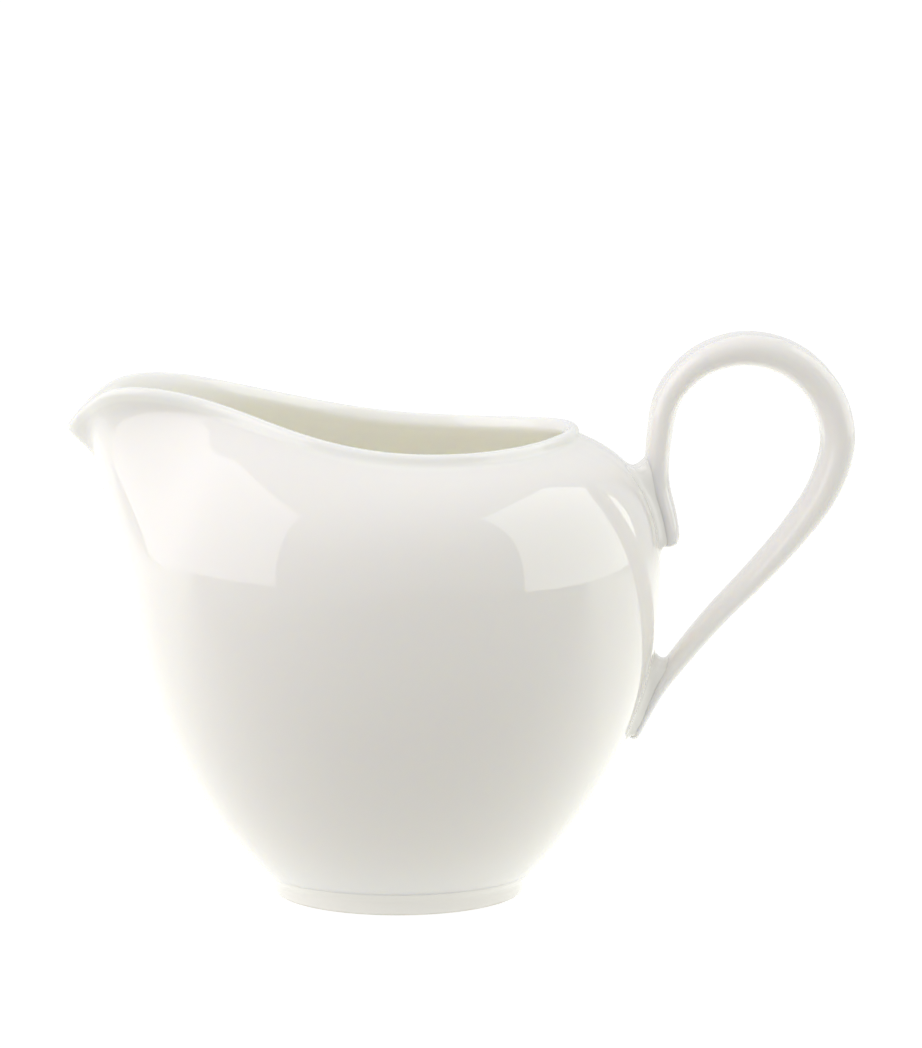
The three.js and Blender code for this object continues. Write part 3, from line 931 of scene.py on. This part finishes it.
class CREAMJUG_OT_slip(bpy.types.Operator):
    """Run a bead of slip round each end of the handle, hollowed between it and the wall"""

    bl_idname = "cream_jug.slip"
    bl_label = "Run the slip"
    bl_options = {"REGISTER", "UNDO"}

    UPPER_FROM_TIP = 5.0 * MM  # the middle of each bead, along the strap from its free end
    LOWER_FROM_TIP = 5.5 * MM
    UPPER_CROTCH_GAP = 3.3 * MM  # how far the strap stands off where the bead ends in the crotch
    LOWER_CROTCH_GAP = 2.4 * MM
    CROTCH_TURN = (0.4, 0.85)  # where the crotch begins and is whole, as the turn's cosine
    LOOP_SEARCH = 16 * MM  # how far along the strap the crotch is looked for
    WRAP = math.pi * 0.9  # and how far round it the bead's sides are
    SEARCH_STEPS = 40
    SEARCH_HALVINGS = 14
    JUST_BELOW = 0.02
    SPREAD = 1.3 * MM  # how far the bead runs out over the wall
    HOLLOWING = (0.36, 0.6)  # of the bead's face, along its sides and in the crotch
    DEEP = 0.5 * MM  # how far the hidden side lies under both surfaces
    SUNK = 0.12 * MM  # how far the bead's two rims lie under them
    CREVICE_LIGHTENING = -0.7  # painted light: the beads are painted lighter to lift the shade in the crevices between strap and wall

    def execute(self, context):
        strap = Strap()
        wall = RearWall()
        self.run_bead(strap, wall, "upper_slip_bead", "upper_handle_joint",
                      self.UPPER_FROM_TIP, 1, math.pi / 2, self.UPPER_CROTCH_GAP)
        self.run_bead(strap, wall, "lower_slip_bead", "lower_handle_joint",
                      strap.length - self.LOWER_FROM_TIP, -1, math.pi * 1.5, self.LOWER_CROTCH_GAP)
        return {"FINISHED"}

    def climb(self, strap, wall, turn, centre, inwards, facing, crotch_gap):
        """Where the bead ends on the strap, a place just below, and how much it is the crotch."""
        crotch = smoothstep(math.cos(turn), *self.CROTCH_TURN)
        height = mix(sizes().bead_height, crotch_gap, crotch)
        to_tip = centre if inwards > 0 else strap.length - centre
        reach = self.LOOP_SEARCH if math.cos(turn) > 0 else to_tip

        def at(share):
            return strap.point(centre + inwards * math.cos(turn) * share * reach,
                               facing + math.sin(turn) * share * self.WRAP)

        low, high = 0.0, 1.0
        for step in range(1, self.SEARCH_STEPS + 1):
            if wall.nearest(at(step / self.SEARCH_STEPS))[2] > height:
                low, high = (step - 1) / self.SEARCH_STEPS, step / self.SEARCH_STEPS
                break
        for _ in range(self.SEARCH_HALVINGS):
            half = (low + high) / 2
            low, high = (low, half) if wall.nearest(at(half))[2] > height else (half, high)
        return at(high), at(max(high - self.JUST_BELOW, 0)), crotch

    def run_bead(self, strap, wall, name, node, *place):
        """Place is the bead's middle, the way to its loop, the face on the wall and the gap."""
        climbs = [self.climb(strap, wall, 2 * math.pi * i / BEAD_COLUMNS, *place)
                  for i in range(BEAD_COLUMNS)]
        feet = [wall.nearest(top)[0] for top, _, _ in climbs]
        middle = sum(feet, Vector()) / BEAD_COLUMNS
        rows = []
        for i, (top, below, crotch) in enumerate(climbs):
            foot, normal, _ = wall.nearest(top)
            away = (feet[(i + 1) % BEAD_COLUMNS] - feet[i - 1]).cross(normal).normalized()
            if away.dot(foot - middle) < 0:
                away.negate()
            toe = wall.nearest(foot + away * self.SPREAD)[0]
            into = (below - top).normalized()
            pull = (top - toe).length * mix(*self.HOLLOWING, crotch)
            lower, upper = toe - normal * self.SUNK, top - away * self.SUNK
            rows.append([bezier(lower, lower - away * pull, upper + into * pull, upper, t)
                         for t in (0, *evenly(0, 1, BEAD_ARC))]
                        + [top + into * self.DEEP - away * self.DEEP,
                           foot - normal * self.DEEP - away * self.DEEP,
                           toe - normal * self.DEEP])
        piece, first, last = draw_through(name, [list(ring) for ring in zip(*rows)])
        pick(piece, (*first, *last))
        bpy.ops.mesh.select_mode(type="EDGE")
        bpy.ops.mesh.bridge_edge_loops()
        bpy.ops.mesh.select_mode(type="VERT")
        fire(piece, node, glazed_slip(), smoothing=1)
        paint_glaze_and_light(piece, lambda place, normal: self.CREVICE_LIGHTENING)


# --------------------------------------------------------------------------- the studio


class CREAMJUG_OT_stage(bpy.types.Operator):
    """Set the pale floor, the white surround, the two softboxes and the camera"""

    bl_idname = "cream_jug.stage"
    bl_label = "Set the stage"
    bl_options = {"REGISTER", "UNDO"}

    CAMERA_PLACE = (0.2 * MM, -711 * MM, 157.6 * MM)
    CAMERA_PITCH = math.radians(7.96)
    LENS = 157.84
    SENSOR_WIDTH = 36
    SIGHT = 20  # how far the camera sees
    BOUNCES = 24
    MATT_BOUNCES = 16
    # Two tall panels beside the jug: x, from y, to y, height, tint, strength and shine.
    SOFTBOXES = (
        ("softbox_left", -1.2, -1.12, 0.56, 2.1, (1.0, 0.975, 0.985), 1.5, 1.75),
        ("softbox_right", 1.2, -0.78, 1.0, 2.1, (0.985, 1.0, 0.965), 1.0, 1.9),
    )
    # The surround: its strength, and what is added overhead and behind the jug, each with the
    # upward or rearward share of the direction where it begins and is whole.
    SURROUND = 0.73
    OVERHEAD = 0.17
    OVERHEAD_FROM = (0.1, 0.9)
    BACKDROP = 0.1
    BACKDROP_FROM = (0.4, 0.85)
    # The floor's own light, in front of the jug and behind it, and where the one becomes the other.
    FLOOR_SIZE = 12
    FLOOR_FRONT = 0.36
    FLOOR_BACK = 1.1
    FLOOR_TURNS = (-70 * MM, 20 * MM)
    FLOOR_LEFT = 0.2  # added on that side
    FLOOR_LEFT_FROM = (-250 * MM, -40 * MM)
    FLOOR_FAR = 0.6  # the share that is left far behind the jug
    FLOOR_FADES = (200 * MM, 600 * MM)
    FLOOR_MATT = 0.86  # the share of it all for what is not mirrored in the glaze
    FLOOR_SEEN = 0.88
    FLOOR_TINT = (0.995, 1.0, 0.94, 1)  # of the light it gives
    FLOOR_COLOUR = (0.2, 0.2, 0.2, 1)
    FLOOR_ROUGHNESS = 0.9
    WHITE = (1, 1, 1, 1)

    def execute(self, context):
        scene = context.scene
        scene.view_settings.view_transform = "Standard"
        scene.view_settings.look = "None"
        scene.cycles.max_bounces = self.BOUNCES
        scene.cycles.diffuse_bounces = self.MATT_BOUNCES
        self.add_camera(scene)
        self.add_floor()
        self.add_surround(scene)
        for box in self.SOFTBOXES:
            self.add_softbox(*box)
        return {"FINISHED"}

    def add_camera(self, scene):
        camera = bpy.data.cameras.new("studio_camera")
        camera.lens = self.LENS
        camera.sensor_width = self.SENSOR_WIDTH
        camera.clip_end = self.SIGHT
        holder = bpy.data.objects.new("studio_camera", camera)
        holder.location = self.CAMERA_PLACE
        holder.rotation_euler = (math.pi / 2 - self.CAMERA_PITCH, 0, 0)
        scene.collection.objects.link(holder)
        scene.camera = holder

    def add_floor(self):
        """A lit table top: it looks plain white, and lights the jug less than it looks."""
        bpy.ops.object.select_all(action="DESELECT")
        bpy.ops.mesh.primitive_plane_add(size=self.FLOOR_SIZE, location=(0, 0, 0))
        floor = bpy.context.object
        floor.name = "studio_floor"
        material, tree, output = new_material("pale_floor")
        link = tree.links.new
        shader = add_node(tree, "ShaderNodeBsdfPrincipled", Roughness=self.FLOOR_ROUGHNESS, **{
            "Base Color": self.FLOOR_COLOUR, "Specular IOR Level": 0.0})
        glow = add_node(tree, "ShaderNodeEmission")
        path = tree.nodes.new("ShaderNodeLightPath")
        place = tree.nodes.new("ShaderNodeTexCoord")
        parts = tree.nodes.new("ShaderNodeSeparateXYZ")
        tint = add_node(tree, "ShaderNodeMix", data_type="RGBA", A=self.FLOOR_TINT, B=self.WHITE)
        across = add_ramp(tree, *self.FLOOR_TURNS, self.FLOOR_FRONT, self.FLOOR_BACK)
        fading = add_ramp(tree, *self.FLOOR_FADES, 1.0, self.FLOOR_FAR)
        left = add_ramp(tree, *self.FLOOR_LEFT_FROM, self.FLOOR_LEFT, 0.0)
        both = add_node(tree, "ShaderNodeMath", operation="ADD")
        light = add_node(tree, "ShaderNodeMath", operation="MULTIPLY")
        matt = add_node(tree, "ShaderNodeMix", data_type="FLOAT", A=self.FLOOR_MATT, B=1.0)
        given = add_node(tree, "ShaderNodeMath", operation="MULTIPLY")
        seen = add_node(tree, "ShaderNodeMix", data_type="FLOAT", B=self.FLOOR_SEEN)
        lit = tree.nodes.new("ShaderNodeAddShader")
        link(place.outputs["Object"], parts.inputs["Vector"])
        link(parts.outputs["Y"], across.inputs["Value"])
        link(parts.outputs["Y"], fading.inputs["Value"])
        link(parts.outputs["X"], left.inputs["Value"])
        link(across.outputs["Result"], both.inputs[0])
        link(left.outputs["Result"], both.inputs[1])
        link(both.outputs[0], light.inputs[0])
        link(fading.outputs["Result"], light.inputs[1])
        link(path.outputs["Is Glossy Ray"], matt.inputs["Factor"])
        link(light.outputs[0], given.inputs[0])
        link(matt.outputs["Result"], given.inputs[1])
        link(given.outputs[0], seen.inputs["A"])
        for chosen, label in ((seen, "Strength"), (tint, "Color")):
            link(path.outputs["Is Camera Ray"], chosen.inputs["Factor"])
            link(chosen.outputs["Result"], glow.inputs[label])
        link(shader.outputs["BSDF"], lit.inputs[0])
        link(glow.outputs["Emission"], lit.inputs[1])
        link(lit.outputs["Shader"], output.inputs["Surface"])
        floor.data.materials.append(material)

    def add_surround(self, scene):
        """Pale all round and brighter overhead, and white where the camera sees it."""
        world = bpy.data.worlds.new("studio_surround")
        world.use_nodes = True
        tree = world.node_tree
        tree.nodes.clear()
        link = tree.links.new
        output = tree.nodes.new("ShaderNodeOutputWorld")
        seen = add_node(tree, "ShaderNodeBackground", Color=self.WHITE, Strength=1.0)
        lighting = add_node(tree, "ShaderNodeBackground", Color=self.WHITE)
        path = tree.nodes.new("ShaderNodeLightPath")
        mixed = tree.nodes.new("ShaderNodeMixShader")
        place = tree.nodes.new("ShaderNodeTexCoord")
        parts = tree.nodes.new("ShaderNodeSeparateXYZ")
        above = add_ramp(tree, *self.OVERHEAD_FROM, self.SURROUND, self.SURROUND + self.OVERHEAD)
        behind = add_ramp(tree, *self.BACKDROP_FROM, 0.0, self.BACKDROP)
        total = add_node(tree, "ShaderNodeMath", operation="ADD")
        link(place.outputs["Generated"], parts.inputs["Vector"])
        link(parts.outputs["Z"], above.inputs["Value"])
        link(parts.outputs["Y"], behind.inputs["Value"])
        link(above.outputs["Result"], total.inputs[0])
        link(behind.outputs["Result"], total.inputs[1])
        link(total.outputs[0], lighting.inputs["Strength"])
        link(path.outputs["Is Camera Ray"], mixed.inputs["Fac"])
        link(lighting.outputs["Background"], mixed.inputs[1])
        link(seen.outputs["Background"], mixed.inputs[2])
        link(mixed.outputs["Shader"], output.inputs["Surface"])
        scene.world = world

    def add_softbox(self, name, x, from_y, to_y, height, tint, strength, shine):
        """A panel with its own tint that shows brighter in the glaze than it lights the jug."""
        bpy.ops.object.select_all(action="DESELECT")
        bpy.ops.mesh.primitive_plane_add(size=1)
        box = bpy.context.object
        box.name = name
        corners = ((from_y, 0), (to_y, 0), (from_y, height), (to_y, height))
        for vert, (y, z) in zip(box.data.vertices, corners):
            vert.co = (x, y, z)
        material, tree, output = new_material(name)
        glow = add_node(tree, "ShaderNodeEmission", Color=(*tint, 1))
        path = tree.nodes.new("ShaderNodeLightPath")
        mirrored = add_node(tree, "ShaderNodeMix", data_type="FLOAT", A=strength, B=shine)
        tree.links.new(path.outputs["Is Glossy Ray"], mirrored.inputs["Factor"])
        tree.links.new(mirrored.outputs["Result"], glow.inputs["Strength"])
        tree.links.new(glow.outputs["Emission"], output.inputs["Surface"])
        box.data.materials.append(material)


class CREAMJUG_PT_panel(bpy.types.Panel):
    """Lists the steps of making the jug, and its sizes and colours"""

    bl_label = "Cream Jug"
    bl_idname = "CREAMJUG_PT_panel"
    bl_space_type = "VIEW_3D"
    bl_region_type = "UI"
    bl_category = "Cream Jug"

    def draw(self, context):
        for step in STEPS:
            self.layout.operator(step.bl_idname)
        for group in (context.scene.cream_jug_sizes, context.scene.cream_jug_finish):
            column = self.layout.column(align=True)
            for name in group.__annotations__:
                column.prop(group, name)


STEPS = (CREAMJUG_OT_vessel, CREAMJUG_OT_foot, CREAMJUG_OT_handle, CREAMJUG_OT_slip,
         CREAMJUG_OT_stage)
CLASSES = (JugSizes, JugFinish, *STEPS, CREAMJUG_PT_panel)


def register():
    for each in CLASSES:
        bpy.utils.register_class(each)
    bpy.types.Scene.cream_jug_sizes = bpy.props.PointerProperty(type=JugSizes)
    bpy.types.Scene.cream_jug_finish = bpy.props.PointerProperty(type=JugFinish)


def unregister():
    del bpy.types.Scene.cream_jug_finish
    del bpy.types.Scene.cream_jug_sizes
    for each in reversed(CLASSES):
        bpy.utils.unregister_class(each)


def main():
    register()
    bpy.ops.cream_jug.vessel()
    bpy.ops.cream_jug.foot()
    bpy.ops.cream_jug.handle()
    bpy.ops.cream_jug.slip()
    bpy.ops.cream_jug.stage()


if __name__ == "__main__":
    main()
